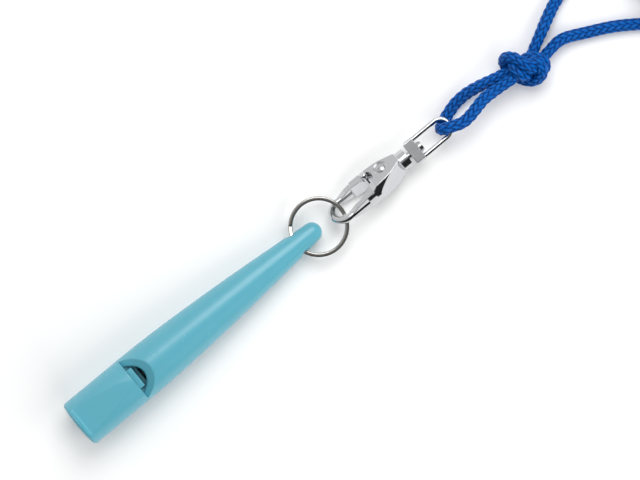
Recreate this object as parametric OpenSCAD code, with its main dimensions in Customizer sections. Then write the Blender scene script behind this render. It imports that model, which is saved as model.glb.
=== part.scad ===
// Pealess dog whistle on a split ring, a swivel snap hook and a braided neck lanyard.
// +X runs from the mouth end to the lanyard, +Z is up, and everything lies on z = 0.

/* [Whistle] */
// Length from the mouth end to the tip of the tail
whistle_l = 82; // [74:0.5:96]
// Diameter of the barrel where it is widest
barrel_d = 13.3; // [12.9:0.1:15]
// Radius of the rounded tail
tail_r = 2.7; // [2.6:0.1:3.4]
// Length from the mouth end over which the sides stay parallel
parallel_l = 22; // [20:0.5:28]
// How late the sides draw in towards the tail
taper_power = 1.5; // [1.2:0.1:2]
// Nose-down lean of the whistle as it lies on its belly
whistle_lean = 3; // [2:0.25:3.5]
// Distance of the ring hole from the tip of the tail
hole_setback = 7.4; // [6.6:0.1:9]
// Diameter of the ring hole through the tail
hole_d = 3.2; // [3.1:0.1:3.5]

/* [Mouthpiece] */
// Length of the mouthpiece, up to its seam with the barrel
mouthpiece_l = 19; // [17:0.5:20]
// Swell of the mouth end
mouth_bulge = 0.5; // [0.2:0.1:1]
// Rounding of the mouth end's rim
mouth_round = 0.9; // [0.5:0.1:1.4]
// Length of the raised lip that the teeth hold
lip_l = 2.2; // [1.6:0.1:3]
// Hollow at the foot of the lip
lip_fillet = 0.8; // [0.4:0.1:1.2]
// Depth of the sloping flat at the foot of the lip
flat_drop = 1.45; // [1:0.05:1.8]
// Plain length between the flat and the seam
flat_setback = 1; // [0.5:0.1:2]
// Wall between the flat and the windway
roof_wall = 1.8; // [1.5:0.1:2]
// Width of the windway
windway_w = 6; // [5:0.1:6]
// Height of the windway
windway_h = 1.1; // [0.8:0.1:1.2]
// Height of the pocket that holds the fipple block
pocket_h = 4.2; // [3.6:0.1:4.8]
// Length of the spigot that enters the barrel
spigot_l = 2.5; // [1.5:0.1:4]
// How far the fipple block stands out under the window
tongue_l = 1.5; // [0.8:0.1:1.5]
// How far the fipple block sits back from the mouth end
block_setback = 1; // [0.6:0.1:2]

/* [Window and chamber] */
// Diameter of the sounding chamber
chamber_d = 10.2; // [10.1:0.1:10.6]
// Length of the sounding chamber behind the seam
chamber_l = 18; // [14:0.5:20]
// Length of the sloping scoop behind the seam
scoop_l = 5.8; // [5:0.1:6.4]
// Depth of the scoop at the seam
scoop_drop = 3.8; // [3.2:0.1:4]

/* [Split ring] */
// Outside diameter of the split ring
ring_od = 16; // [15.6:0.1:18]
// Width of the ring's wire
wire_w = 1.1; // [0.9:0.05:1.2]
// Thickness of one turn of the ring's wire
wire_t = 0.7; // [0.6:0.02:0.74]
// Sideways lean of the ring
ring_lean = 5; // [4:0.5:6]

/* [Snap hook] */
// Length of the hook from its nose to the end of its neck
hook_l = 25.9; // [25:0.1:30]
// Width of the hook's body
hook_w = 8.8; // [8.6:0.1:9.2]
// Thickness of the hook's body
hook_t = 5.8; // [5.4:0.1:6]
// Diameter of the rod that forms the nose
nose_d = 2; // [1.8:0.05:2.1]
// Bend radius of the nose, at the middle of the rod
nose_bend = 3.4; // [3.3:0.05:3.6]
// Length of the nose's tip beside the gate
tip_l = 5.4; // [5.2:0.1:6]
// Height of the arms where they leave the nose
arm_h = 3; // [2.6:0.1:3.2]
// Height of the fixed arm at the body's shoulder
root_h = 4.6; // [4.2:0.1:4.8]
// Place of the body's shoulder behind the nose
shoulder_x = 13.2; // [12.8:0.1:14]
// Height of the shoulder's step on the fixed arm
shoulder_step = 0.4; // [0.2:0.05:0.6]
// Width of the body's flat where it meets the neck
neck_flat = 3; // [2.6:0.1:3.4]
// Diameter of the neck
neck_d = 5.4; // [5.2:0.1:5.6]
// Length of the neck
neck_l = 2.5; // [2:0.1:3]
// Height of the hook's axis above the surface that it lies on
hook_z = 4.7; // [4.6:0.1:5.4]
// Roll of the hook about its length
hook_roll = 42; // [40:1:44]
// Sideways place of the hook, from the whistle's axis
hook_y = -0.7; // [-1:0.1:0.4]

/* [Gate] */
// Place of the gate's pivot behind the nose
pivot_x = 18.5; // [18:0.1:19]
// Offset of the gate's pivot towards the gate's side
pivot_y = 0.7; // [0.4:0.1:1]
// Reach of the gate from its pivot to its tip
gate_l = 9.6; // [9.4:0.1:9.8]
// Height of the gate in front of the body
gate_h = 4.2; // [3.8:0.1:4.4]
// Thickness of the gate between the body's cheeks
gate_t = 3; // [2.6:0.1:3.2]
// Width of the gate at its tip
gate_w = 1.8; // [1.5:0.1:2]
// Radius of the gate's hub
hub_r = 2.1; // [1.8:0.1:2.2]
// Diameter of the gate's pin
pin_d = 1.8; // [1.4:0.1:2]
// Diameter of the gate pin's head
pin_head_d = 2.7; // [2.4:0.1:3]
// Radius of the thumb knob
knob_r = 0.85; // [0.7:0.05:1]
// Distance of the thumb knob ahead of the pivot
knob_reach = 4.6; // [4.4:0.1:4.8]
// Swing of the gate from closed to open
gate_swing = 22; // [15:1:22]
// Diameter of the gate's spring
spring_d = 1.9; // [1.5:0.1:2]
// Diameter of the spring's wire
spring_wire = 0.32; // [0.24:0.02:0.36]
// Coils of the spring
spring_coils = 4; // [3:1:4]

/* [Swivel] */
// Length of the swivel eye
eye_l = 13.7; // [13.2:0.1:14.4]
// Width of the swivel eye
eye_w = 6.7; // [6.6:0.1:7.4]
// Diameter of the rod that forms the eye's bow
bow_d = 1.3; // [1.1:0.05:1.35]
// Length of the eye's base block
base_l = 2.9; // [2.5:0.1:3.2]
// Thickness of the eye's base block
base_t = 3.6; // [3:0.1:4]
// Diameter of the swivel pin
swivel_d = 2; // [1.8:0.1:2.2]
// Diameter of the swivel pin's head
swivel_head_d = 3.2; // [2.8:0.1:3.4]
// Thickness of the swivel pin's head
swivel_head_t = 1; // [0.8:0.1:1.2]
// Dark groove between the neck and the eye
swivel_gap = 0.9; // [0.6:0.1:1]

/* [Lanyard] */
// Diameter of the braided cord
cord_d = 3.4; // [3:0.1:3.4]
// Layers of the hank that the rest of the cord is wound into
hank_layers = 4; // [2:2:4]
// Spacing of the hank's turns, sideways and upwards
hank_pitch = 4.5; // [4.4:0.1:5]
// Radius of the hank's innermost folds
hank_inner_r = 6.8; // [6.6:0.1:8]
// Length of the hank's straight runs
hank_run = 28; // [22:1:36]
// Width of the tie that holds the hank
tie_w = 8; // [5:0.5:12]
// Thickness of the tie
tie_t = 0.6; // [0.4:0.1:1]

/* [Hidden] */
$fn = 64;

// Clearances
glue_gap = 0.02;     // between moulded pieces that are cemented together
turn_gap = 0.05;     // between the split ring's two turns
seat_gap = 1.3;      // between the ring's wire and the inside of the hook's nose
running_gap = 0.08;  // round a pin that turns
side_gap = 0.2;      // beside the gate
tip_gap = 0.25;      // between the gate and the nose's tip
tie_gap = 0.1;       // between the tie and the hank
far = 30;            // longer than any cut
overcut = 1;         // how far a cut starts outside a face

// Small sizes of the moulded and cast pieces
spigot_step = 0.4;   // of the spigot's top below the scoop
throat_run = 2.4;    // of the hook's body ahead of its shoulder
flank_rise = 0.1;    // of the hook's rounded flank above the surface that it lies on
body_power = 1.35;   // how late the body's flat draws in towards the neck
arm_inset = 0.2;     // of the arms' flat sides inside the nose's rod
arm_start = 0.8;     // height of the arms inside the nose's rod
arm_run = 3;         // of the arms' growth out of the nose's rod
arm_rim = 0.1;       // of the cheeks outside the fixed arm
neck_rim = 0.1;      // of the body's round limit outside its corners at the neck
bevel_run = 1.5;     // of the bevel behind the shoulder
spring_sink = 0.4;   // of the spring's seat into the fixed arm
spring_drop = 0.95;  // of the spring's upper end below the pivot
web_t = 0.6;         // wall between the gate's slot and the swivel pin
recess_t = 0.3;      // depth of the recess round the gate pin's head
recess_rim = 0.5;    // width of that recess
dome_h = 0.7;        // height of the gate pin's head
dome_share = 0.7;    // radius of the head's dome, as a share of its diameter
knob_rise = 1.05;    // of the thumb knob beside the pivot
knob_stand = 0.2;    // of the thumb knob's shank above the cheek
gate_flush = 0.1;    // of the gate's back below the nose's tip
gate_dip = 0.5;      // of the gate's inner side, deepest in front of the body
hub_inset = 0.2;     // of the gate's outline inside its hub
web_rise = 0.3;      // of the gate's inner side below the thumb knob, from the pivot
knob_web = 0.4;      // of that place behind the thumb knob
knob_waist = 0.12;   // of the thumb knob's shank inside its ball
bow_lap = 1.95;      // of the lanyard's routes inside the end of the eye's bow
arm_sink = 0.8;      // of the bow's arms into the eye's base
base_rim = 0.15;     // of the eye's base beyond the bow's arms on each side
head_share = 0.8;    // top of the swivel pin's head, as a share of its foot
cross_at = 150;      // place round the split ring where its turns cross over
cross_half = 12;     // half the angle of that crossing

// Whistle, in its own frame: mouth end at the origin, axis along +X
barrel_r = barrel_d / 2;
tip_x = whistle_l - tail_r;
hole_x = whistle_l - hole_setback;
chamber_r = chamber_d / 2;
flat_end = mouthpiece_l - flat_setback;
flat_a = atan(flat_drop / (flat_end - lip_l));
side_steps = 16;
arc_steps = 8;

// Radius of the whistle at a distance from the mouth end
function drawn_in(x) = x <= parallel_l ? 0 : (x - parallel_l) / (tip_x - parallel_l);
function outer_r(x) = tail_r + (barrel_r - tail_r) * (1 - pow(drawn_in(x), taper_power));
taper_xs = [for (i = [0 : side_steps]) parallel_l + (tip_x - parallel_l) * i / side_steps];

// Outline of the swollen mouth end, as [radius, distance]
rim_r = barrel_r - mouth_round;
mouth_end = concat(
    [for (i = [0 : arc_steps]) [rim_r * i / arc_steps, mouth_bulge * pow(i / arc_steps, 2)]],
    [for (i = [1 : arc_steps]) [rim_r, mouth_bulge + mouth_round]
        + mouth_round * [sin(90 * i / arc_steps), -cos(90 * i / arc_steps)]]);

// The lean lays the belly on z = 0
axis_z = max([for (x = taper_xs) x * sin(whistle_lean) + outer_r(x) * cos(whistle_lean)]);

// Chain of places along X, from the mouth end
hole_at = [hole_x * cos(whistle_lean), 0, axis_z - hole_x * sin(whistle_lean)];
ring_r = ring_od / 2 - wire_w / 2;
ring_t = 2 * wire_t + turn_gap;
ring_sag = ring_r - sqrt(pow(ring_r, 2) - pow(outer_r(hole_x), 2));
ring_reach = 2 * ring_r - ring_sag / 2;
ring_rise = asin((hook_z - hole_at.z) / ring_reach);
ring_mid = ring_r - ring_sag / 2;
ring_at = hole_at + ring_mid * [cos(ring_rise), 0, sin(ring_rise)];
nose_x = hole_at.x + ring_reach * cos(ring_rise) - wire_w / 2 - seat_gap - nose_d;
eye_x = nose_x + hook_l + swivel_gap;
total_l = eye_x + eye_l;
mouth_x = min([for (p = mouth_end) p[1] * cos(whistle_lean) - p[0] * sin(whistle_lean)]);
origin_x = (total_l + mouth_x) / 2;

// Hook, in its own frame: nose end at the origin, length along +X, face up
nose_mid = nose_bend + nose_d / 2;
arm_half = nose_d / 2 - arm_inset;
flank_r = hook_z - flank_rise;
neck_limit = norm([neck_flat, hook_t]) / 2 + neck_rim;
neck_x = hook_l - neck_l;
throat_x = shoulder_x - throat_run;
knob_y = pivot_y + knob_rise;
knob_turn = norm([knob_reach, knob_y - pivot_y]);
knob_a = atan2(knob_y - pivot_y, -knob_reach);
knob_room_r = knob_turn * sin(gate_swing / 2) + knob_r + tip_gap;
slot_h = gate_t + 2 * side_gap;
spring_x = pivot_x - hub_r - spring_d / 2 - side_gap;
gate_front = shoulder_x - pivot_x - side_gap;
slot_end = pivot_x + hub_r + side_gap;
seat_end = spring_x + spring_d / 2 + side_gap;
wall_y = nose_bend - nose_d / 2 + spring_sink;

// Lanyard routes, measured from just inside the end of the eye's bow
bight_route = [[19, 0.6, 3.6], [15, 1.3, 3.4], [10, 2.3, 2.6], [6, 2.1, 1.9], [3.9, 1.5, 1.8],
               [2.4, 1, 1.8], [0.15, 0.3, 2.3], [-1.25, -0.55, 3.8], [-1.35, -0.85, 5.6],
               [-0.05, -1.5, 7.1], [1.95, -2.3, 7.6], [4.2, -3.1, 7.5], [7.5, -2.8, 6.9],
               [11, -1.8, 6.2], [15, -1.6, 5.7], [19, -2.3, 5.5]];
top_route = [[28, -0.2, 5.6], [32.5, 1.2, 3.6], [37.5, 3.9, 2.2], [42.5, 6, 1.8], [52, 8.2, 1.8],
             [63, 8, 1.9], [74, 6.2, 2.2]];
right_route = [[30, -3.9, 4.2], [34.5, -2.8, 3], [39, -3.4, 2], [44, -5.8, 1.8], [50.5, -9.1, 1.8],
               [56, -12.6, 1.8], [60, -15.4, 1.9], [65, -18.6, 3], [70, -20.4, 7], [75, -20.2, 12],
               [78.6, -18.1, 15.3]];
knot_at = [24.5, -2.4, 4.6];
knot_size = [14.8, 9.6, 8.8];
knot_turn = -27;

// Hank: each layer is one oval turn inwards or outwards and half a turn up to the next
hank_at = [89, -6, tie_t + tie_gap + cord_d / 2];
hank_outer_r = hank_inner_r + hank_pitch;
layer_turns = 1.5;
hank_span = layer_turns * hank_layers - 0.5;
hank_top = hank_pitch * (hank_layers - 1);
loop_rings = 24;
hank_in = hank_at + [-cord_d, hank_outer_r, 0];
hank_out = hank_at + [-cord_d, -hank_outer_r, hank_top];

// Place of the hank's middle line after a number of turns
function share(v) = min(max(v, 0), 1);
function hank_a(f) = 180 * (share(3 * f - 0.25) + share(3 * f - 1.75));
function hank_slide(f) = hank_run / 2 * (share(12 * f) - 2 * share(6 * f - 2.5) + share(12 * f - 11));
function layer(n) = min(floor(n / layer_turns), hank_layers - 1);
function wound(n) = n - layer_turns * layer(n);
function hank_r(n) = layer(n) % 2 == 0 ? hank_outer_r - hank_pitch * share(wound(n))
                                       : hank_inner_r + hank_pitch * share(wound(n));
function hank_rise(n) = hank_pitch * (layer(n) + (1 - cos(180 * share(2 * wound(n) - 2))) / 2);
function hank_point(n) = let (f = n - floor(n)) hank_at
    + [hank_r(n) * sin(hank_a(f)) + hank_slide(f), hank_r(n) * cos(hank_a(f)), hank_rise(n)];
hank_path = concat([hank_in],
                   [for (i = [0 : hank_span * loop_rings]) hank_point(i / loop_rings)], [hank_out]);

// Least gap between turns, on points at least half a turn apart
hank_gap = min([for (i = [0 : len(hank_path) - 1], j = [i + loop_rings / 2 : len(hank_path) - 1])
                norm(hank_path[i] - hank_path[j])]) - cord_d;
echo(hank_gap = hank_gap);

// Rings of points along a path, and the closed tube that they make
function heading(p, i) = p[min(i + 1, len(p) - 1)] - p[max(i - 1, 0)];
function unit(v) = v / norm(v);
function tube_ring(at, along, across, r, sides) =
    let (a = unit(cross(along, across)), b = unit(cross(along, a)))
    [for (k = [0 : sides - 1]) at + r * (cos(360 * k / sides) * a + sin(360 * k / sides) * b)];
module tube(path, d, sides, across) {
    last = len(path) - 1;
    points = [for (i = [0 : last]) each tube_ring(path[i], heading(path, i), across, d / 2, sides)];
    faces = concat(
        [for (k = [1 : sides - 2]) [0, k, k + 1]],
        [for (i = [0 : last - 1], k = [0 : sides - 1]) each
            let (a = i * sides + k, b = i * sides + (k + 1) % sides)
            [[a, a + sides, b], [b, a + sides, b + sides]]],
        [for (k = [1 : sides - 2]) [last * sides, last * sides + k + 1, last * sides + k]]);
    polyhedron(points, faces);
}

// A hand-drawn route, rounded by a curve through its points
function between(p, i, t) =
    let (a = p[max(i - 1, 0)], b = p[i], c = p[i + 1], d = p[min(i + 2, len(p) - 1)])
    (2 * b + t * (c - a) + t * t * (2 * a - 5 * b + 4 * c - d) + t * t * t * (3 * b - a - 3 * c + d)) / 2;
function smooth(p, cuts) = concat(
    [for (i = [0 : len(p) - 2], k = [0 : cuts - 1]) between(p, i, k / cuts)], [p[len(p) - 1]]);

// Frames of the pieces
module in_whistle() {
    translate([-origin_x, 0, axis_z]) rotate([0, whistle_lean, 0]) children();
}
module in_ring() {
    translate(ring_at - [origin_x, 0, 0]) rotate([0, -ring_rise, 0]) rotate([ring_lean, 0, 0]) children();
}
module in_hook() {
    translate([nose_x - origin_x, hook_y, hook_z]) rotate([-hook_roll, 0, 0]) children();
}
module in_eye() {
    translate([eye_x - origin_x, hook_y, hook_z]) children();
}
module in_lanyard() {
    translate([total_l - bow_lap - origin_x, 0, 0]) children();
}
module along_x(x) {
    translate([x, 0, 0]) rotate([0, 90, 0]) children();
}

// Round solid along X from an outline of [radius, distance] points
module turned(outline) {
    along_x(0) rotate_extrude() polygon(outline);
}

// Space of the windway and the fipple block, from a distance ahead of the lip
module under_flat(x, w, low, high, l) {
    translate([lip_l, 0, barrel_r - flat_drop - roof_wall])
        rotate([0, -flat_a, 0])
            translate([x - lip_l, -w / 2, low - pocket_h])
                cube([l, w, high - low]);
}

module barrel_outside() {
    turned(concat(
        [[0, mouthpiece_l], [barrel_r, mouthpiece_l]],
        [for (x = taper_xs) [outer_r(x), x]],
        [for (i = [1 : arc_steps]) [0, tip_x]
            + tail_r * [cos(90 * i / arc_steps), sin(90 * i / arc_steps)]]));
}

module scoop() {
    rotate([90, 0, 0]) linear_extrude(far, center = true)
        polygon([[mouthpiece_l - overcut, barrel_r - scoop_drop], [mouthpiece_l, barrel_r - scoop_drop],
                 [mouthpiece_l + scoop_l, barrel_r], [mouthpiece_l + scoop_l, barrel_r + overcut],
                 [mouthpiece_l - overcut, barrel_r + overcut]]);
}

module barrel() {
    color("#6db4c6") in_whistle() difference() {
        barrel_outside();
        along_x(mouthpiece_l - overcut) cylinder(r = chamber_r, h = chamber_l + overcut);
        scoop();
        translate([hole_x, 0, 0]) rotate([90, 0, 0]) cylinder(d = hole_d, h = far, center = true);
    }
}

module mouth_outside() {
    turned(concat(mouth_end, [[barrel_r, mouthpiece_l], [0, mouthpiece_l]]));
}

module sloping_flat() {
    foot = barrel_r - flat_drop;
    rotate([90, 0, 0]) linear_extrude(far, center = true)
        polygon(concat(
            [for (i = [0 : arc_steps]) [lip_l, foot + lip_fillet]
                - lip_fillet * [cos(90 * i / arc_steps), sin(90 * i / arc_steps)]],
            [[flat_end, barrel_r], [flat_end, barrel_r + overcut],
             [lip_l - lip_fillet, barrel_r + overcut]]));
}

module mouthpiece() {
    color("#66b0c3") in_whistle() difference() {
        union() {
            difference() {
                mouth_outside();
                sloping_flat();
                mirror([0, 0, 1]) sloping_flat();
            }
            difference() {
                along_x(mouthpiece_l - overcut) cylinder(r = chamber_r - glue_gap, h = spigot_l + overcut);
                translate([mouthpiece_l, -far / 2, barrel_r - scoop_drop - spigot_step]) cube(far);
            }
        }
        under_flat(-far, windway_w, 0, pocket_h, 3 * far);
    }
}

module fipple_block() {
    color("#5fa9bd") in_whistle()
        under_flat(block_setback, windway_w - 2 * glue_gap, 0, pocket_h - windway_h,
                   mouthpiece_l + tongue_l - block_setback);
}

// Outline of the ring's wire, with its corners taken off
module wire_outline(z) {
    chamfer = wire_t / 5;
    w = wire_w / 2;
    h = wire_t / 2;
    translate([ring_r, z]) polygon([
        [w, chamfer - h], [w, h - chamfer], [w - chamfer, h], [chamfer - w, h],
        [-w, h - chamfer], [-w, chamfer - h], [chamfer - w, -h], [w - chamfer, -h]]);
}

module split_ring() {
    level = (wire_t + turn_gap) / 2;
    run = ring_r * tan(cross_half);
    color("#c9ccd0") in_ring() {
        for (z = [-level, level])
            rotate_extrude(angle = 360 - 2 * cross_half, start = cross_at + cross_half) wire_outline(z);
        intersection() {
            rotate_extrude() translate([ring_r - wire_w / 2, -ring_t / 2]) square([wire_w, ring_t]);
            rotate([90, 0, cross_at + 90]) linear_extrude(ring_od)
                polygon([[-run - wire_t, -level - wire_t / 2], [-run, -level - wire_t / 2],
                         [run, level - wire_t / 2], [run + wire_t, level - wire_t / 2],
                         [run + wire_t, level + wire_t / 2], [run, level + wire_t / 2],
                         [-run, -level + wire_t / 2], [-run - wire_t, -level + wire_t / 2]]);
        }
    }
}

// Half the width of the hook's body and its round limit, drawn in from its shoulder to its neck
function to_neck(x) = x < shoulder_x ? 0 : (x - shoulder_x) / (neck_x - shoulder_x);
function body_half(x) = hook_w / 2 - (hook_w - neck_flat) / 2 * pow(to_neck(x), body_power);
function body_limit(x) = flank_r - (flank_r - neck_limit) * pow(to_neck(x), 2);
function step_left(x) = x < neck_x ? shoulder_step * (neck_x - x) / (neck_x - shoulder_x) : 0;
body_xs = [for (i = [0 : side_steps]) shoulder_x + (neck_x - shoulder_x) * i / side_steps];

// Limit of the hook's height, from the nose to the neck
module hook_height() {
    heights = [[nose_mid, arm_start / 2], [nose_mid + arm_run, arm_h / 2], [shoulder_x, root_h / 2],
               [shoulder_x + bevel_run, hook_t / 2], [neck_x, hook_t / 2]];
    rotate([90, 0, 0]) linear_extrude(far, center = true)
        polygon(concat(heights, [for (i = [len(heights) - 1 : -1 : 0]) [heights[i][0], -heights[i][1]]]));
}

// A straight arm beside the opening, growing taller out of the nose's rod
module arm(side, l) {
    translate([0, side * nose_bend, 0]) along_x(nose_mid) cylinder(d = nose_d, h = l);
    intersection() {
        translate([nose_mid, side * nose_bend - arm_half, -far / 2]) cube([l, 2 * arm_half, far]);
        hook_height();
    }
}

module hook_cheeks() {
    arm_y = nose_bend + nose_d / 2 + arm_rim;
    intersection() {
        linear_extrude(hook_t, center = true)
            polygon(concat(
                [[throat_x, -arm_y], [shoulder_x, -arm_y]],
                [for (x = body_xs) [x, -body_half(x) - step_left(x)]],
                [for (i = [side_steps : -1 : 0]) [body_xs[i], body_half(body_xs[i])]],
                [[shoulder_x, 0], [throat_x, 0]]));
        turned(concat([[0, throat_x], [flank_r, throat_x]],
                      [for (x = body_xs) [body_limit(x), x]], [[0, neck_x]]));
        hook_height();
    }
}

module knob_room() {
    translate([pivot_x, pivot_y, 0]) rotate(knob_a + gate_swing / 2)
        translate([knob_turn, 0, 0]) cylinder(r = knob_room_r, h = far);
}

module hook_body() {
    color("#cfd2d6") in_hook() union() {
        difference() {
            union() {
                hook_cheeks();
                along_x(neck_x) cylinder(d = neck_d, h = neck_l);
            }
            translate([throat_x, 0, 0]) cylinder(r = nose_bend - nose_d / 2, h = far, center = true);
            translate([0, -wall_y, -slot_h / 2]) cube([seat_end, far, slot_h]);
            translate([0, pivot_y - hub_r - side_gap, -slot_h / 2]) cube([slot_end, far, slot_h]);
            knob_room();
            translate([pivot_x, pivot_y, 0]) cylinder(d = pin_d, h = far, center = true);
            translate([pivot_x, pivot_y, hook_t / 2 - recess_t])
                cylinder(d = pin_head_d + 2 * recess_rim, h = far);
            along_x(slot_end + web_t) cylinder(d = swivel_d, h = far);
        }
        translate([nose_mid, 0, 0]) rotate_extrude(angle = 180, start = 90)
            translate([nose_bend, 0]) circle(d = nose_d);
        arm(-1, shoulder_x - nose_mid);
        difference() {
            arm(1, tip_l);
            gate_sweep(tip_gap);
        }
    }
}

// Space that the gate's tip sweeps through about its pivot
module gate_sweep(gap) {
    translate([pivot_x, pivot_y, 0]) cylinder(r = gate_l + gap, h = far, center = true);
}

// Outline of the gate about its pivot
module gate_outline() {
    back = nose_bend + nose_d / 2 - gate_flush - pivot_y;
    tip = -gate_l - overcut;
    polygon([[tip, back], [-knob_reach, back], [-hub_r, back - gate_dip], [hub_r / 2, hub_r - hub_inset],
             [0, hub_inset - hub_r], [knob_web - knob_reach, web_rise],
             [gate_front - overcut, back - gate_w - gate_dip], [tip, back - gate_w]]);
}

module gate() {
    shank = hook_t / 2 + knob_stand;
    color("#c4c8cc") in_hook() difference() {
        union() {
            intersection() {
                translate([pivot_x, pivot_y, 0]) {
                    linear_extrude(gate_t, center = true) gate_outline();
                    linear_extrude(gate_h, center = true) intersection() {
                        gate_outline();
                        translate([gate_front - far, -far / 2]) square(far);
                    }
                }
                gate_sweep(0);
            }
            translate([pivot_x, pivot_y, 0]) cylinder(r = hub_r, h = gate_t, center = true);
            translate([pivot_x - knob_reach, knob_y, 0]) {
                cylinder(r = knob_r - knob_waist, h = shank);
                translate([0, 0, shank]) sphere(r = knob_r);
            }
        }
        translate([pivot_x, pivot_y, 0]) cylinder(d = pin_d + 2 * running_gap, h = far, center = true);
    }
}

module gate_pin() {
    dome_r = dome_share * pin_head_d;
    color("#d8dadd") in_hook() translate([pivot_x, pivot_y, 0]) {
        translate([0, 0, -hook_t / 2]) cylinder(d = pin_d, h = hook_t);
        for (side = [0, 1]) mirror([0, 0, side])
            translate([0, 0, hook_t / 2 - (side == 0 ? recess_t : 0)]) intersection() {
                translate([0, 0, dome_h - dome_r]) sphere(r = dome_r);
                cylinder(d = pin_head_d, h = pin_head_d);
            }
    }
}

module gate_spring() {
    low = glue_gap + spring_wire / 2 - wall_y;
    high = pivot_y - spring_drop;
    color("#8f9398") in_hook()
        tube([for (i = [0 : spring_coils * 8])
              let (done = i / (spring_coils * 8), turn = 360 * spring_coils * done)
              [spring_x + (spring_d - spring_wire) / 2 * cos(turn), low + (high - low) * done,
               (spring_d - spring_wire) / 2 * sin(turn)]],
             spring_wire, 6, [0, 1, 0]);
}

module swivel_pin() {
    foot = slot_end + web_t;
    head = hook_l + swivel_gap + base_l + running_gap;
    color("#d8dadd") in_hook() {
        along_x(foot) cylinder(d = swivel_d, h = head - foot);
        along_x(head) cylinder(d1 = swivel_head_d, d2 = swivel_head_d * head_share, h = swivel_head_t);
    }
}

module swivel_eye() {
    arm_y = (eye_w - bow_d) / 2;
    bend_x = eye_l - eye_w / 2;
    base_w = eye_w + 2 * base_rim;
    arc_x = base_l + overcut;
    color("#cfd2d6") in_eye() union() {
        difference() {
            intersection() {
                translate([0, -base_w, -base_t / 2]) cube([base_l, 2 * base_w, base_t]);
                along_x(-overcut) cylinder(d = base_w, h = base_l + 2 * overcut);
                translate([arc_x, 0, 0]) cylinder(r = norm([arc_x, neck_d / 2]), h = far, center = true);
            }
            along_x(-overcut) cylinder(d = swivel_d + 2 * running_gap, h = base_l + 2 * overcut);
        }
        for (side = [-1, 1]) translate([0, side * arm_y, 0])
            along_x(base_l - arm_sink) cylinder(d = bow_d, h = bend_x - base_l + arm_sink);
        translate([bend_x, 0, 0]) rotate_extrude(angle = 180, start = -90)
            translate([arm_y, 0]) circle(d = bow_d);
    }
}

module lanyard_bight() {
    color("#0b4ba0") in_lanyard() tube(smooth(bight_route, 2), cord_d, 8, [0, 1, 0]);
}

module lanyard_knot() {
    color("#0b4ba0") in_lanyard()
        translate(knot_at) rotate([0, 0, knot_turn]) scale(knot_size / 2) sphere(r = 1);
}

module lanyard_top_leg() {
    color("#0b4ba0") in_lanyard()
        tube(concat(top_route, [hank_in - [cord_d, 0, 0], hank_in]), cord_d, 8, [0, 1, 0]);
}

module lanyard_right_leg() {
    color("#0b4ba0") in_lanyard()
        tube(concat(right_route, [hank_out - [cord_d, 0, 0], hank_out]), cord_d, 8, [0, 1, 0]);
}

module lanyard_hank() {
    color("#0b4ba0") in_lanyard() tube(hank_path, cord_d, 6, [0, 0, 1]);
}

module hank_tie() {
    room = cord_d / 2 + tie_gap;
    inside = [2 * (hank_outer_r + room), hank_top + 2 * room];
    color("#20242c") in_lanyard()
        translate(hank_at + [hank_run / 4, 0, hank_top / 2]) rotate([90, 0, 90])
            linear_extrude(tie_w, center = true) difference() {
                square(inside + 2 * [tie_t, tie_t], center = true);
                square(inside, center = true);
            }
}

barrel();
mouthpiece();
fipple_block();
split_ring();
hook_body();
gate();
gate_pin();
gate_spring();
swivel_pin();
swivel_eye();
lanyard_bight();
lanyard_knot();
lanyard_top_leg();
lanyard_right_leg();
lanyard_hank();
hank_tie();
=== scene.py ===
import math

import bpy
import numpy as np
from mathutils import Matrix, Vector


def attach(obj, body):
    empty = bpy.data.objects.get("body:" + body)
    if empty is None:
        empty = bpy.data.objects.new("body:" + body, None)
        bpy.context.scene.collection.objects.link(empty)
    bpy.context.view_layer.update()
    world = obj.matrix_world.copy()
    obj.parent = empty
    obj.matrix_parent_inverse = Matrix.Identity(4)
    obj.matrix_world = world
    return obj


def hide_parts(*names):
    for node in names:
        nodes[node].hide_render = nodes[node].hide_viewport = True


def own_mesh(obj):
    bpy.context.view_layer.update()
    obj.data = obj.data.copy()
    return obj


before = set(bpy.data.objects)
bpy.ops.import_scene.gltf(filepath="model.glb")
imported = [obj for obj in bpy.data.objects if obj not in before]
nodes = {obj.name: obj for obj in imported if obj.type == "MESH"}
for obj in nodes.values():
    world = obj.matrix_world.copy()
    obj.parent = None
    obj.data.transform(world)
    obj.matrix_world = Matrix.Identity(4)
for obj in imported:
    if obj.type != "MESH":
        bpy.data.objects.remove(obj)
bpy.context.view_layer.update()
print("frame loaded:", len(nodes), "solids")


def mm(value):
    return value / 1000


# sRGB hex to the linear values that Blender works in
def linear(hexColour):
    values = [int(hexColour[i:i + 2], 16) / 255 for i in (1, 3, 5)]
    return tuple(v / 12.92 if v <= 0.04045 else ((v + 0.055) / 1.055) ** 2.4 for v in values) + (1.0,)


# repeats per metre of a pattern that repeats every so many mm
def every(millimetres):
    return 1000 / millimetres


# adds a node with its settings, its fixed inputs and its links
def addNode(tree, kind, inputs=None, links=None, **settings):
    node = tree.nodes.new(kind)
    for name, value in settings.items():
        setattr(node, name, value)
    for name, value in (inputs or {}).items():
        node.inputs[name].default_value = value
    for name, source in (links or {}).items():
        tree.links.new(source, node.inputs[name])
    return node


# a material with its shader's constant values set, and the place on the object for its patterns
def newMaterial(name, **constants):
    material = bpy.data.materials.new(name)
    material.use_nodes = True
    tree = material.node_tree
    tree.nodes.clear()
    shader = addNode(tree, "ShaderNodeBsdfPrincipled",
                     inputs={key.replace("_", " "): value for key, value in constants.items()})
    addNode(tree, "ShaderNodeOutputMaterial", links={"Surface": shader.outputs[0]})
    place = addNode(tree, "ShaderNodeTexCoord").outputs["Object"]
    return material, tree, shader, place


def dress(nodeName, material):
    slots = nodes[nodeName].data.materials
    if len(slots) == 0:
        slots.append(material)
    for i in range(len(slots)):
        slots[i] = material


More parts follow.
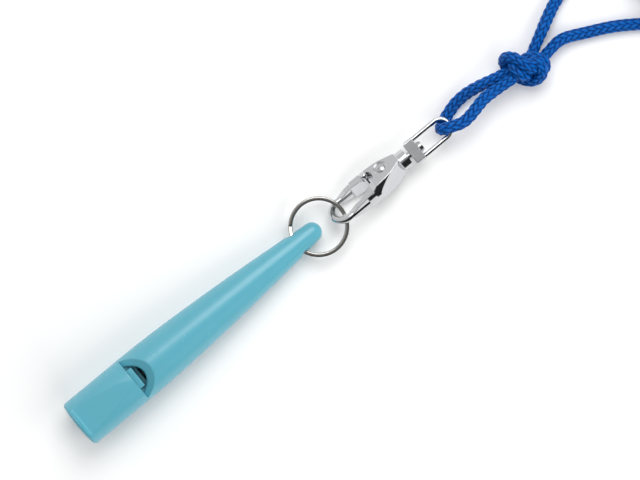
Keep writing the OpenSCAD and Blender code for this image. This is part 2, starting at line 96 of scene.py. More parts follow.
def addMesh(name, points, faces, material, smooth=True):
    mesh = bpy.data.meshes.new(name)
    mesh.from_pydata([tuple(p) for p in points], [], faces)
    mesh.materials.append(material)
    if smooth:
        mesh.polygons.foreach_set("use_smooth", [True] * len(mesh.polygons))
    piece = bpy.data.objects.new(name, mesh)
    bpy.context.collection.objects.link(piece)
    return piece


# camera: straight down, turned so that the whistle lies as in the photo
cameraSettings = {
    "imageWidth": 640,
    "pixelsPerMm": 3.83,
    "turn": -39.6,             # degrees, of the whistle's line to the picture's foot
    "aim": (16.8, -2.9, 6.0),  # mm, the point at the middle of the picture
    "lens": 150,
    "sensor": 36,
}
cameraData = bpy.data.cameras.new("camera")
cameraData.lens = cameraSettings["lens"]
cameraData.sensor_width = cameraSettings["sensor"]
cameraObject = bpy.data.objects.new("camera", cameraData)
bpy.context.collection.objects.link(cameraObject)
pictureWidth = cameraSettings["imageWidth"] / cameraSettings["pixelsPerMm"]
cameraHeight = pictureWidth * cameraSettings["lens"] / cameraSettings["sensor"]
aim = Vector(cameraSettings["aim"])
cameraObject.location = (aim + Vector((0, 0, cameraHeight))) / 1000
cameraObject.rotation_euler = (0, 0, math.radians(cameraSettings["turn"]))
bpy.context.scene.camera = cameraObject
print("camera set")

# lanyard: one closed loop of braided cord; the routes are in mm from a place just inside the eye's bow
lanyard = {
    "cordD": 3.4,
    "start": 60.913,       # mm, that place along X
    "step": 0.25,          # mm, between the rings of the cord
    "pathStep": 4,         # rings to one point of a coarser line along the cord
    "easing": 20,          # rounds of smoothing of the whole line
    "seenUntil": 60.0,     # mm, beyond this the camera sees no more of it
    "upperLeg": [(-1.3, -0.7, 4.7), (-0.8, -0.3, 3.2), (0.4, 0.3, 2.2), (2.4, 1, 1.8), (3.9, 1.5, 1.8),
                 (6, 2.1, 1.9), (10, 2.3, 2.6), (13.5, 1.6, 3.6)],
    "lowerLeg": [(-1.3, -0.7, 4.7), (-1, -1.1, 6.2), (-0.05, -1.5, 7.1), (1.95, -2.3, 7.6),
                 (4.2, -3.1, 7.5), (7.5, -2.8, 6.9), (11, -2, 6.4), (13.5, -1.7, 6.2)],
    "topLeg": [(35.8, 2.3, 3.4), (38.6, 3.8, 2.4), (43, 5.8, 1.8), (52, 8.2, 1.8), (63, 8, 1.9),
               (74, 6.2, 2.2), (82.2, 5.3, 2.4)],
    "rightLeg": [(36.2, -2.2, 3.4), (39.4, -3, 2.2), (44.3, -5.4, 1.8), (50.8, -8.7, 1.8),
                 (56.2, -12.3, 1.8), (60, -15.2, 1.9), (65, -18.6, 3), (70, -20.4, 7),
                 (75, -20.2, 12), (78.6, -18.1, 15.3), (82.2, -17.3, 15.9)],
}

# hank: each layer is one oval turn inwards or outwards and half a turn up to the next
hank = {
    "at": (89, -6, 2.4),   # mm, in the lanyard's frame
    "layers": 4,
    "pitch": 4.5,
    "innerR": 6.8,
    "run": 28,             # mm, of the straight runs
    "layerTurns": 1.5,
    "ringsPerTurn": 24,
    "halfRun": 1 / 12,     # of a turn, half of a straight run
    "bend": 1 / 3,         # of a turn, a half circle at an end
}


# how far a value has come between two others, from 0 to 1
def share(value, start=0, end=1):
    return min(max((value - start) / (end - start), 0), 1)


def hankPoint(n):
    layer = min(int(n / hank["layerTurns"]), hank["layers"] - 1)
    wound = n - hank["layerTurns"] * layer
    moved = share(wound) if layer % 2 else 1 - share(wound)
    radius = hank["innerR"] + hank["pitch"] * moved
    climb = share(wound, 1, hank["layerTurns"])
    rise = hank["pitch"] * (layer + (1 - math.cos(math.pi * climb)) / 2)
    f = n - math.floor(n)
    out = hank["halfRun"]
    back = out + hank["bend"]
    over = back + 2 * hank["halfRun"]
    home = over + hank["bend"]
    angle = math.pi * (share(f, out, back) + share(f, over, home))
    slide = hank["run"] / 2 * (share(f, 0, out) - 2 * share(f, back, over) + share(f, home, 1))
    x, y, z = hank["at"]
    return x + radius * math.sin(angle) + slide, y + radius * math.cos(angle), z + rise


def hankPoints():
    climbTurns = hank["layerTurns"] - 1
    turns = hank["layerTurns"] * hank["layers"] - climbTurns  # the top layer has none above it to climb to
    rings = round(turns * hank["ringsPerTurn"])
    return [hankPoint(i / hank["ringsPerTurn"]) for i in range(rings + 1)]


# points at an even spacing along a line
def evenly(points, spacing):
    lengths = np.concatenate([[0], np.cumsum(np.linalg.norm(np.diff(points, axis=0), axis=1))])
    places = np.linspace(0, lengths[-1], max(2, int(round(lengths[-1] / spacing)) + 1))
    return np.column_stack([np.interp(places, lengths, points[:, k]) for k in range(3)])


curveSteps = 12            # points to each span of a smooth curve


# a smooth curve through a route of points
def smoothRoute(route, spacing, closed=False):
    p = np.array(route, float)
    count = len(p)
    fine = []
    for i in range(count if closed else count - 1):
        spots = np.arange(i - 1, i + 3)
        a, b, c, d = p[spots % count] if closed else p[np.clip(spots, 0, count - 1)]
        for t in np.linspace(0, 1, curveSteps, endpoint=False):
            fine.append((2 * b + t * (c - a) + t ** 2 * (2 * a - 5 * b + 4 * c - d)
                         + t ** 3 * (3 * b - a - 3 * c + d)) / 2)
    fine.append(p[0] if closed else p[-1])
    return evenly(np.array(fine), spacing)


# knot: an overhand knot in both legs, laid out loosely in its own frame, along it, across it and up, in mm
knot = {
    "at": (26.2, -1.9, 5.0),
    "turn": -14,           # degrees, of the knot's length to the lanyard's line
    "packedD": 2.8,        # mm, the soft cord is squeezed where the knot grips it
    "spacing": 0.8,        # mm, between the points that are drawn up
    "apart": 4.2,          # mm of cord, nearer points don't push each other
    "floor": 1.75,         # mm, least height of the cord's middle
    "held": (14.5, 36.5),  # mm, the legs outside these stay where they lie
    "rounds": 600,
    "shrink": 0.999,       # of the cord's length per round
    "drawnFor": 0.7,       # share of the rounds in which it shrinks
    "push": 0.16,
    "pull": 0.35,
    "bends": (0.3, 0.2, 0.15),  # stiffness over one, two and three points
    "limit": 0.2,          # mm, largest move in a round
    "leastGap": 1e-9,      # mm, added so that no distance is nought
    "easing": 5,           # rounds of smoothing once it is drawn up
    "first": [(-4.4, 0.6, 1.2), (-1, 0.6, 0.4), (3, 0.4, 0.4), (6.2, -0.2, 1.4), (7.6, -2, 0.6),
              (6.2, -4.6, -0.4), (2.4, -5.6, -1.6), (-2, -5.2, -2), (-5.4, -2.6, -2.6), (-6.6, 0.6, -2.6),
              (-6.4, 3.4, -1.2), (-5.6, 4.4, 1.2), (-4.4, 3, 3.4), (-2.4, 0, 4.2), (-0.6, -3, 3),
              (0.8, -4, 0), (1.8, -2.4, -2.6), (3.2, 1, -2.8), (4.6, 3.2, -1.6)],
    "second": [(-4.6, -2.4, 1.8), (-1, -2, 0.6), (3, -2.2, 0.6), (7, -2.4, 2), (9.4, -4, 0.6),
               (8, -7, -1.2), (2.6, -8, -2.4), (-3, -7, -3), (-7.4, -3.4, -3), (-8.4, 1.6, -3),
               (-7.2, 5.6, -1.6), (-4.4, 7, 0.8), (-1.6, 5.4, 3.6), (0.8, 1.8, 4.6), (2.6, -1.6, 3.6),
               (3.8, -3, 0.6), (4.6, -1.6, -2.2), (5.8, 0.6, -2), (7.2, 1.6, -1)],
}


def knotPlace(points):
    turn = math.radians(knot["turn"])
    c, s = math.cos(turn), math.sin(turn)
    axes = np.array(((c, s, 0), (-s, c, 0), (0, 0, 1)))
    return np.array(knot["at"]) + np.array(points, float) @ axes


# one round of smoothing of a line, which leaves an open line's ends alone
def eased(points, closed=False):
    mean = (np.roll(points, 1, axis=0) + np.roll(points, -1, axis=0)) / 2
    result = (points + mean) / 2
    if not closed:
        result[0], result[-1] = points[0], points[-1]
    return result


# draws the loose strands up until the cord's own thickness stops them
def drawUp(strands):
    sizes = np.array([len(s) for s in strands])
    points = np.vstack(strands)
    strandOf = np.repeat(np.arange(len(sizes)), sizes)
    order = np.concatenate([np.arange(n) for n in sizes])
    last = sizes[strandOf] - 1
    steps = np.abs(order[:, None] - order[None, :])
    near = (strandOf[:, None] == strandOf[None, :]) & (steps * knot["spacing"] < knot["apart"])
    # a strand's first third has its near leg, and its last third the far one
    held = (points[:, 0] < knot["held"][0]) & (order < last / 3)
    held |= (points[:, 0] > knot["held"][1]) & (order > last * 2 / 3)
    links = np.flatnonzero(order < last)
    rest = np.linalg.norm(points[links + 1] - points[links], axis=1)
    for count in range(knot["rounds"]):
        if count < knot["rounds"] * knot["drawnFor"]:
            rest *= knot["shrink"]
        distance = np.linalg.norm(points[:, None] - points[None, :], axis=2) + knot["leastGap"]
        push = np.where(near, 0, np.clip(knot["packedD"] / distance - 1, 0, None))
        move = knot["push"] * (points * push.sum(axis=1)[:, None] - push @ points)
        stretch = points[links + 1] - points[links]
        pull = knot["pull"] * (1 - rest / np.linalg.norm(stretch, axis=1))[:, None] * stretch
        move[links] += pull
        move[links + 1] -= pull
        for span, stiffness in enumerate(knot["bends"], start=1):
            i = np.flatnonzero((order >= span) & (order <= last - span))
            move[i] += stiffness * ((points[i - span] + points[i + span]) / 2 - points[i])
        move[held] = 0
        points = points + np.clip(move, -knot["limit"], knot["limit"])
        points[:, 2] += np.where(held, 0, np.clip(knot["floor"] - points[:, 2], 0, None) / 2)
    print("knot drawn up, least spacing %.2f mm" % distance[~near].min())
    return np.split(points, np.cumsum(sizes)[:-1])


legStart = 5               # the legs' first points lie in the eye, and the knot doesn't move them
legEnd = 3                 # points of each leg behind the knot that it may move
loose = []
for near, tied, far in (("upperLeg", "first", "topLeg"), ("lowerLeg", "second", "rightLeg")):
    middle = [tuple(p) for p in knotPlace(knot[tied])]
    loose.append(smoothRoute(lanyard[near][legStart:] + middle + lanyard[far][:legEnd], knot["spacing"]))
drawn = []
for strand in drawUp(loose):
    line = evenly(strand, knot["spacing"])
    for count in range(knot["easing"]):
        line = eased(line)
    drawn.append([tuple(p) for p in line])
route = (lanyard["upperLeg"][:legStart] + drawn[0] + lanyard["topLeg"][legEnd:] + hankPoints()
         + lanyard["rightLeg"][:legEnd - 1:-1] + drawn[1][::-1] + lanyard["lowerLeg"][legStart - 1:0:-1])
path = smoothRoute(route, lanyard["step"], closed=True)[:-1]
for count in range(lanyard["easing"]):
    path = eased(path, closed=True)
cordLength = np.linalg.norm(path - np.roll(path, 1, axis=0), axis=1).sum()
print("lanyard %.0f mm long" % cordLength)


# braid: bundles of yarn wound both ways round the cord, each over two and under two
braid = {
    "bundles": 8,          # each way
    "lay": 16.0,           # mm, of one turn of a bundle
    "weave": 0.24,         # mm, rise and fall of a bundle
    "crown": 0.42,         # mm, rounding of a bundle
    "flatness": 0.9,       # how far a bundle's section nears a half circle
    "sides": 64,
    "unseenStep": 3,       # rings of the path to one of the mesh where the camera sees none
    "gripped": 0.12,       # mm, the knot squeezes the cord's radius by this
    "gripReach": (8.5, 12.0),  # mm from the knot's middle, full grip and no grip
}


# frames that turn as little as they can along the path, closed up by a small even twist
def turningFrames(points):
    ahead = np.roll(points, -1, axis=0) - np.roll(points, 1, axis=0)
    ahead /= np.linalg.norm(ahead, axis=1)[:, None]
    side = np.zeros_like(points)
    start = np.cross(ahead[0], (0, 0, 1))
    side[0] = start / np.linalg.norm(start)
    for i in range(1, len(points)):
        flat = side[i - 1] - ahead[i] * np.dot(side[i - 1], ahead[i])
        side[i] = flat / np.linalg.norm(flat)
    last = side[-1] - ahead[0] * np.dot(side[-1], ahead[0])
    twist = math.atan2(np.dot(np.cross(last, side[0]), ahead[0]), np.dot(last, side[0]))
    angles = twist * np.arange(len(points)) / len(points)
    up = np.cross(ahead, side)
    side = side * np.cos(angles)[:, None] + up * np.sin(angles)[:, None]
    return side, np.cross(ahead, side)


# height of the braid in mm and the place across the bundle that lies on top, from -1 to 1
def braidSurface(around, along):
    n = braid["bundles"]
    a = n * (around / (2 * math.pi) + along)
    b = n * (around / (2 * math.pi) - along)
    heights, places = [], []
    for own, other, sign in ((a, b, 1), (b, a, -1)):
        bundle = np.floor(own)
        across = 2 * (own - bundle) - 1
        rise = sign * np.cos(math.pi / 2 * (other + bundle - 1))
        section = np.sqrt(np.clip(1 - braid["flatness"] * across ** 2, 0, 1)) - 1
        heights.append(braid["weave"] * rise + braid["crown"] * section)
        places.append(across)
    return np.maximum(*heights), np.where(heights[0] > heights[1], places[0], places[1])


# quads between the rings of a closed tube, and between a ring's own points
def tubeFaces(rings, sides):
    i = np.arange(rings)[:, None] * sides
    j = ((np.arange(rings) + 1) % rings)[:, None] * sides
    k = np.arange(sides)[None, :]
    m = (k + 1) % sides
    return np.stack([i + k, i + m, j + m, j + k], axis=2).reshape(-1, 4).tolist()


# the same for an open tube, with a face over each end
def cappedFaces(rings, sides):
    ends = [list(range(sides))[::-1], list(range((rings - 1) * sides, rings * sides))]
    return tubeFaces(rings, sides)[:(rings - 1) * sides] + ends


def cordMesh():
    side, up = turningFrames(path)
    along = np.arange(len(path)) / len(path) * round(cordLength / braid["lay"])
    seen = path[:, 0] < lanyard["seenUntil"]
    keep = seen | (np.arange(len(path)) % braid["unseenStep"] == 0)
    ring, side, up, along = path[keep], side[keep], up[keep], along[keep]
    around = np.arange(braid["sides"]) / braid["sides"] * 2 * math.pi
    height, across = braidSurface(around[None, :], along[:, None])
    full, none = braid["gripReach"]
    grip = np.clip((none - np.linalg.norm(ring - np.array(knot["at"]), axis=1)) / (none - full), 0, 1)
    radius = (lanyard["cordD"] / 2 - braid["weave"] - braid["gripped"] * grip)[:, None] + height
    points = ring[:, None] + radius[:, :, None] * (np.cos(around)[None, :, None] * side[:, None]
                                                   + np.sin(around)[None, :, None] * up[:, None])
    faces = tubeFaces(len(ring), braid["sides"])
    return points.reshape(-1, 3), faces, height.reshape(-1), across.reshape(-1)


# a place in the lanyard's frame, in metres of the shared frame
def lanyardPlace(points):
    return (np.array(points, float) + (lanyard["start"], 0, 0)) / 1000


def addValues(piece, name, values):
    layer = piece.data.attributes.new(name, "FLOAT", "POINT")
    layer.data.foreach_set("value", values.astype(np.float32))


# braided polypropylene cord: soft waxy bundles of yarn, with a painted highlight on their crowns and painted
# shade, deep blue, between them
cordLook = {
    # the first colour is painted shade for the valleys between the bundles, the last a painted highlight for
    # their crowns, and the middle one the yarn's own blue
    "valleyShade": "#01123C",
    "yarn": "#01387E",
    "crown": "#025FB7",
    "yarns": 3,            # side by side in a bundle
    "yarnDepth": 0.05,     # mm
    "dye": 9,              # mm, slow changes of the dye
    "dyeShare": 0.25,      # how far they count
    "valleyShadeAt": 0.25,        # places on the colour ramp
    "yarnAt": 0.62,
    "crownAt": 1.0,
    "fuzz": 0.35,          # mm, size of the loose fibres, drawn coarser than they are
    "fuzzDepth": 0.02,
    "fuzzDetail": 3,
    "ramp": 0.6,           # mm, depth below the crowns over which the painted shade deepens
}
cordMaterial, tree, shader, place = newMaterial("polypropylene cord, braided", Roughness=0.36, IOR=1.49,
                                                Specular_IOR_Level=0.15)  # fibres break up the gloss
crown = addNode(tree, "ShaderNodeAttribute", attribute_name="crown").outputs["Fac"]
across = addNode(tree, "ShaderNodeAttribute", attribute_name="across").outputs["Fac"]
dye = addNode(tree, "ShaderNodeTexNoise", {"Scale": every(cordLook["dye"])}, {"Vector": place})
# the ramp's place: the dye's slow changes, plus painted shade and highlight from how high the point lies on
# its bundle
dyeAndShade = addNode(tree, "ShaderNodeMath", {1: cordLook["dyeShare"]}, {0: dye.outputs["Fac"], 2: crown},
                operation="MULTIPLY_ADD")
ramp = addNode(tree, "ShaderNodeValToRGB", links={"Fac": dyeAndShade.outputs[0]})
colours = ramp.color_ramp.elements
colours[0].color = linear(cordLook["valleyShade"])
colours[0].position = cordLook["valleyShadeAt"]
colours[1].color = linear(cordLook["crown"])
colours[1].position = cordLook["crownAt"]
colours.new(cordLook["yarnAt"]).color = linear(cordLook["yarn"])
tree.links.new(ramp.outputs["Color"], shader.inputs["Base Color"])
turn = addNode(tree, "ShaderNodeMath", {1: math.pi * cordLook["yarns"]}, {0: across}, operation="MULTIPLY")
ridge = addNode(tree, "ShaderNodeMath", links={0: turn.outputs[0]}, operation="COSINE").outputs[0]
yarnBump = addNode(tree, "ShaderNodeBump", {"Distance": mm(cordLook["yarnDepth"])}, {"Height": ridge})
fuzz = addNode(tree, "ShaderNodeTexNoise",
               {"Scale": every(cordLook["fuzz"]), "Detail": cordLook["fuzzDetail"]}, {"Vector": place})
fuzzBump = addNode(tree, "ShaderNodeBump", {"Distance": mm(cordLook["fuzzDepth"])},
                   {"Height": fuzz.outputs["Fac"], "Normal": yarnBump.outputs["Normal"]})
tree.links.new(fuzzBump.outputs["Normal"], shader.inputs["Normal"])

points, faces, height, acrossBundle = cordMesh()
lanyardPiece = addMesh("lanyard", lanyardPlace(points), faces, cordMaterial)
# how high each point lies on its bundle, from 0 in the valleys to 1 on the crowns, which sets the painted
# shade and highlight
addValues(lanyardPiece, "crown", np.clip(1 + (height - braid["weave"]) / cordLook["ramp"], 0, 1))
addValues(lanyardPiece, "across", acrossBundle)
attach(lanyardPiece, "swivel")
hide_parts("lanyard_bight", "lanyard_knot", "lanyard_top_leg", "lanyard_right_leg",
            "lanyard_hank")
print("lanyard made")

# strap: a band of woven webbing round the hank, its free end laid over its start on the top
strap = {
    "at": (96, -6, 9.15),  # mm, in the lanyard's frame
    "inside": (26.2, 17.1),
    "corner": 1.8,         # mm, radius inside
    "thick": 0.6,
    "wide": 8.0,
    "lapRise": [(-5, 0), (-4, 0.1), (-2, 0.8), (-1, 1)],  # mm along the top, and share of the rise there
    "lap": 12.0,           # mm, of the free end beyond that
    "cornerSteps": 13,
    "edgeSteps": 7,
    "thinEnd": 0.15,       # of the thickness, at the cut ends
    "rib": 1.0,            # mm, of the webbing's ribs
    "ribHeight": 0.05,
    "step": 0.2,           # mm, along the band
    "clear": 0.02,         # mm, between the free end and the band
}


# the strap's line, from the middle of its top round the hank and on over its start
def strapLine():
    half = strap["thick"] / 2
    r = strap["corner"] + half
    y, z = (size / 2 + half for size in strap["inside"])
    corners = [(y - r, z - r, 90), (y - r, r - z, 0), (r - y, r - z, -90), (r - y, z - r, 180)]
    line = [(0, z)]
    for cy, cz, start in corners:
        for turn in np.linspace(0, -90, strap["cornerSteps"]):
            angle = math.radians(start + turn)
            line.append((cy + r * math.cos(angle), cz + r * math.sin(angle)))
    lift = strap["thick"] + 2 * strap["ribHeight"] + strap["clear"]
    line += [(along, z + rise * lift) for along, rise in strap["lapRise"]]
    line.append((line[-1][0] + strap["lap"], z + lift))
    return evenly(np.array([(0, a, b) for a, b in line]), strap["step"])


def strapMesh():
    line = strapLine()
    ahead = np.gradient(line, axis=0)
    ahead /= np.linalg.norm(ahead, axis=1)[:, None]
    across = np.array((1.0, 0, 0))
    outward = np.cross(ahead, across)
    outward *= np.sign(outward[0, 2])
    half = strap["thick"] / 2
    flat = strap["wide"] / 2 - half
    corner = np.radians(np.linspace(-90, 90, strap["edgeSteps"]))
    rounded = np.column_stack([flat + half * np.cos(corner), half * np.sin(corner)])
    section = np.vstack([rounded, -rounded])[::-1]  # this way round, the faces look outward
    length = np.arange(len(line)) * strap["step"]
    ribs = strap["ribHeight"] * np.cos(2 * math.pi * length / strap["rib"])
    taper = np.clip(np.minimum(length, length[-1] - length) / half, strap["thinEnd"], 1)
    size = np.repeat(section[None], len(line), axis=0)
    size[:, :, 1] *= (taper * (1 + ribs / half))[:, None]
    points = line[:, None] + size[:, :, :1] * across + size[:, :, 1:] * outward[:, None]
    return points.reshape(-1, 3) + strap["at"], cappedFaces(len(line), len(section))


# woven nylon webbing: matt black with a slight gleam along its ribs
strapLook = {
    "colour": "#1B1C1E",
    "worn": "#2C2E31",
    "fade": 7,             # mm, of the worn patches
    "fadeDetail": 4,
    "thread": 3.14,        # mm, of a row of threads, drawn coarser than it is
    "threadDepth": 0.03,
    "waveScale": 20 / (2 * math.pi),  # repeats of a wave texture in one unit, at a scale of 1
}
strapMaterial, tree, shader, place = newMaterial("nylon webbing, woven", Roughness=0.62, IOR=1.53,
                                                 Sheen_Weight=0.1)
fade = addNode(tree, "ShaderNodeTexNoise",
               {"Scale": every(strapLook["fade"]), "Detail": strapLook["fadeDetail"]}, {"Vector": place})
worn = addNode(tree, "ShaderNodeMix", {6: linear(strapLook["colour"]), 7: linear(strapLook["worn"])},
               {0: fade.outputs["Fac"]}, data_type="RGBA")  # inputs 6 and 7 are its two colours
tree.links.new(worn.outputs[2], shader.inputs["Base Color"])
thread = addNode(tree, "ShaderNodeTexWave",
                 {"Scale": every(strapLook["thread"]) / strapLook["waveScale"]}, {"Vector": place})
threadBump = addNode(tree, "ShaderNodeBump", {"Distance": mm(strapLook["threadDepth"])},
                     {"Height": thread.outputs["Fac"]})
tree.links.new(threadBump.outputs["Normal"], shader.inputs["Normal"])
points, faces = strapMesh()
strapPiece = addMesh("hankStrap", lanyardPlace(points), faces, strapMaterial)
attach(strapPiece, "swivel")
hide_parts("hank_tie")
print("strap made")


# what the hard pieces share: eased edges, the grain of their making, fine scratches, and smudges of handling;
# a look's sizes are in mm, and its scratches are drawn wider than real ones, which are too fine to show;
# they run along the axis where scratchShape is small, and scratchTurn only changes where they fall
hard = {
    "cloudDetail": 3,
    "smudgeDetail": 4,
    "smudgeSpan": (0.3, 0.7),     # of the noise, from clean to smudged
    "edgeSamples": 8,
    "grainDetail": 2,
    "scratchDetail": 1,
    "scratchSpan": (0.66, 0.72),  # of the noise, only its peaks are scratches
}


def hardSurface(name, look, **constants):
    material, tree, shader, place = newMaterial(name, **constants)
    cloud = addNode(tree, "ShaderNodeTexNoise",
                    {"Scale": every(look["cloud"]), "Detail": hard["cloudDetail"]}, {"Vector": place})
    tone = addNode(tree, "ShaderNodeMix", {6: linear(look["dark"]), 7: linear(look["light"])},
                   {0: cloud.outputs["Fac"]}, data_type="RGBA")
    tree.links.new(tone.outputs[2], shader.inputs["Base Color"])
    smudge = addNode(tree, "ShaderNodeTexNoise",
                     {"Scale": every(look["smudge"]), "Detail": hard["smudgeDetail"]}, {"Vector": place})
    limits = hard["smudgeSpan"] + look["rough"]  # a map range's inputs 1 to 4
    rough = addNode(tree, "ShaderNodeMapRange", dict(enumerate(limits, start=1)), {0: smudge.outputs["Fac"]})
    tree.links.new(rough.outputs[0], shader.inputs["Roughness"])
    edge = addNode(tree, "ShaderNodeBevel", {"Radius": mm(look["edge"])}, samples=hard["edgeSamples"])
    grain = addNode(tree, "ShaderNodeTexNoise",
                    {"Scale": every(look["grain"]), "Detail": hard["grainDetail"]}, {"Vector": place})
    grainBump = addNode(tree, "ShaderNodeBump", {"Distance": mm(look["grainDepth"])},
                        {"Height": grain.outputs["Fac"], "Normal": edge.outputs["Normal"]})
    drawnOut = addNode(tree, "ShaderNodeMapping",
                       {"Rotation": look["scratchTurn"], "Scale": look["scratchShape"]}, {"Vector": place})
    hair = addNode(tree, "ShaderNodeTexNoise",
                   {"Scale": every(look["scratch"]), "Detail": hard["scratchDetail"]},
                   {"Vector": drawnOut.outputs[0]})
    line = addNode(tree, "ShaderNodeMapRange", dict(enumerate(hard["scratchSpan"], start=1)),
                   {0: hair.outputs["Fac"]})
    lineBump = addNode(tree, "ShaderNodeBump", {"Distance": mm(look["scratchDepth"])},
                       {"Height": line.outputs[0], "Normal": grainBump.outputs["Normal"]}, invert=True)
    tree.links.new(lineBump.outputs["Normal"], shader.inputs["Normal"])
    return material


# moulded ABS: an even satin gloss, the faint orange peel of a polished mould and very light scuffs
absMaterial = hardSurface("ABS, injection moulded in a polished mould", {
    "dark": "#539FB1", "light": "#59A6B8", "cloud": 12, "smudge": 5, "rough": (0.25, 0.275), "edge": 0.55,
    "grain": 0.9, "grainDepth": 0.003, "scratch": 0.5, "scratchShape": (0.12, 1, 1),
    "scratchTurn": (0, 0, 0.5), "scratchDepth": 0.0004,
}, IOR=1.54)
for name in ("barrel", "mouthpiece", "fipple_block"):
    dress(name, absMaterial)

# chrome plate over die-cast zinc: mirror-like, with the casting's slow ripple and dull touches of handling
chromeMaterial = hardSurface("zinc, die cast and chrome plated", {
    "dark": "#C3C5C8", "light": "#D2D4D6", "cloud": 9, "smudge": 4, "rough": (0.06, 0.16), "edge": 0.25,
    "grain": 1.6, "grainDepth": 0.02, "scratch": 0.35, "scratchShape": (0.1, 1, 1),
    "scratchTurn": (0.4, 0, 0.9), "scratchDepth": 0.003,
}, Metallic=1)
for name in ("hook_body", "gate", "swivel_eye"):
    dress(name, chromeMaterial)

# nickel plate over spring steel: a warmer grey than chrome, with the drawn wire's lines under the plate
ringMaterial = hardSurface("spring steel, coiled and nickel plated", {
    "dark": "#A3A19D", "light": "#BAB8B4", "cloud": 6, "smudge": 3, "rough": (0.08, 0.18), "edge": 0.5,
    "grain": 0.5, "grainDepth": 0.006, "scratch": 0.3, "scratchShape": (1, 1, 0.08),
    "scratchTurn": (0, 0, 0), "scratchDepth": 0.004,
}, Metallic=1)
dress("split_ring", ringMaterial)

# bright steel pins: turned and plated, with fine tool lines and a duller gleam than the castings
pinMaterial = hardSurface("steel, turned and zinc plated", {
    "dark": "#AEB0B2", "light": "#BDBFC1", "cloud": 2, "smudge": 1.5, "rough": (0.2, 0.34), "edge": 0.1,
    "grain": 0.4, "grainDepth": 0.006, "scratch": 0.2, "scratchShape": (1, 1, 0.1),
    "scratchTurn": (0.73, 0, 0), "scratchDepth": 0.004,
}, Metallic=1)
for name in ("gate_pin", "swivel_pin"):
    dress(name, pinMaterial)

# drawn spring wire: a grey, dull gleam with fine lines from the drawing die
springMaterial = hardSurface("spring wire, cold drawn", {
    "dark": "#8F9193", "light": "#A5A7A9", "cloud": 2, "smudge": 1, "rough": (0.22, 0.36), "edge": 0.05,
    "grain": 0.3, "grainDepth": 0.004, "scratch": 0.15, "scratchShape": (1, 0.15, 1),
    "scratchTurn": (0, 0, 0), "scratchDepth": 0.003,
}, Metallic=1)

# gate spring: the coil behind the gate, which closes up as the gate opens; in the hook's own frame, in mm
spring = {
    "hookAt": (22.363, -0.7, 4.7),  # mm, the nose of the hook
    "hookRoll": -42,                # degrees, of the hook about its length
    "along": 15.25,                 # mm from the nose
    "ends": (-2.62, -0.25),         # mm, from the fixed arm to the gate
    "coilD": 1.9,
    "wireD": 0.32,
    "coils": 4,
    "stepsPerCoil": 28,
    "sides": 10,
    "squeezedTo": 0.3,              # of its length with the gate wide open
}
roll = math.radians(spring["hookRoll"])
hookAxes = np.array(((1, 0, 0), (0, math.cos(roll), math.sin(roll)), (0, -math.sin(roll), math.cos(roll))))


def hookPlace(points):
    return (np.array(spring["hookAt"]) + np.array(points, float) @ hookAxes) / 1000


def springMesh():
    turn = np.linspace(0, 2 * math.pi * spring["coils"], spring["coils"] * spring["stepsPerCoil"] + 1)
    outward = np.column_stack([np.cos(turn), np.zeros_like(turn), np.sin(turn)])
    low, high = spring["ends"]
    middle = (spring["coilD"] - spring["wireD"]) / 2 * outward
    middle += np.column_stack([np.full_like(turn, spring["along"]), np.linspace(low, high, len(turn)),
                               np.zeros_like(turn)])
    around = np.arange(spring["sides"]) / spring["sides"] * 2 * math.pi
    points = middle[:, None] + spring["wireD"] / 2 * (np.cos(around)[None, :, None] * outward[:, None]
                                                      + np.sin(around)[None, :, None] * np.array((0, 1, 0)))
    return hookPlace(points.reshape(-1, 3)), cappedFaces(len(turn), spring["sides"])


points, faces = springMesh()
springPiece = addMesh("gateSpring", points, faces, springMaterial)
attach(springPiece, "hook")
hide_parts("gate_spring")
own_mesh(springPiece)
print("spring and materials made")

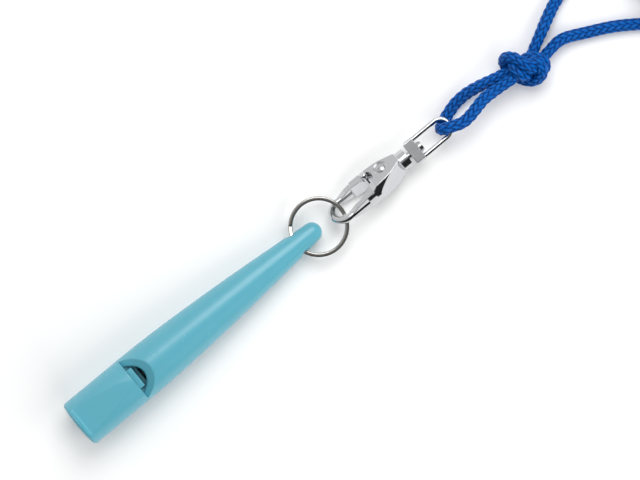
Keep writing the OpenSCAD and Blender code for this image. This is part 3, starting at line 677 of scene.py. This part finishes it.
# floor: matt white paper, with the faint tooth of its fibres
floorLook = {
    "half": 1.5,           # m, half of its width
    "colour": "#F6F6F6",
    "tooth": 0.6,          # mm, drawn coarser than it is
    "toothDepth": 0.01,
}
floorMaterial, tree, shader, place = newMaterial("paper, matt white", Base_Color=linear(floorLook["colour"]),
                                                 Roughness=0.9)
tooth = addNode(tree, "ShaderNodeTexNoise", {"Scale": every(floorLook["tooth"])}, {"Vector": place})
toothBump = addNode(tree, "ShaderNodeBump", {"Distance": mm(floorLook["toothDepth"])},
                    {"Height": tooth.outputs["Fac"]})
tree.links.new(toothBump.outputs["Normal"], shader.inputs["Normal"])
half = floorLook["half"]
floor = addMesh("floor", [(-half, -half, 0), (half, -half, 0), (half, half, 0), (-half, half, 0)],
                [(0, 1, 2, 3)], floorMaterial, smooth=False)

# studio: a soft light beyond the picture's top, a wide one at its lower right that the metal doesn't mirror,
# and a room that is dark on one side
studio = {
    "lights": {            # place and size in m, power in W, and whether the metal mirrors it
        "softbox": ((0.28, 0.26, 0.55), 0.5, 2.7, True),
        "fill": ((0.25, -0.6, 0.34), 1.0, 7.0, False),
    },
    "brightest": (0, 0.85, 0.35),  # the way to the room's light side; the far side from it is dark
    "blend": (-0.05, 0.6),         # along that way, from where it is dark to where it is light
    "dark": 0.03,
    "light": 0.8,
    "colour": "#FFFFFF",
}
for name, (at, size, power, mirrored) in studio["lights"].items():
    lightData = bpy.data.lights.new(name, "AREA")
    lightData.energy = power
    lightData.size = size
    light = bpy.data.objects.new(name, lightData)
    light.location = at
    light.rotation_euler = (aim / 1000 - Vector(at)).to_track_quat("-Z", "Y").to_euler()
    light.visible_glossy = mirrored
    bpy.context.collection.objects.link(light)
world = bpy.data.worlds.new("studio")
world.use_nodes = True
bpy.context.scene.world = world
tree = world.node_tree
direction = addNode(tree, "ShaderNodeTexCoord").outputs["Generated"]
towards = addNode(tree, "ShaderNodeVectorMath", {1: studio["brightest"]}, {0: direction},
                  operation="DOT_PRODUCT")
limits = studio["blend"] + (studio["dark"], studio["light"])
room = addNode(tree, "ShaderNodeMapRange", dict(enumerate(limits, start=1)), {0: towards.outputs["Value"]},
               interpolation_type="SMOOTHSTEP")
background = tree.nodes["Background"]
tree.links.new(room.outputs[0], background.inputs["Strength"])
background.inputs["Color"].default_value = linear(studio["colour"])
bpy.context.scene.view_settings.view_transform = "Standard"
print("studio set")
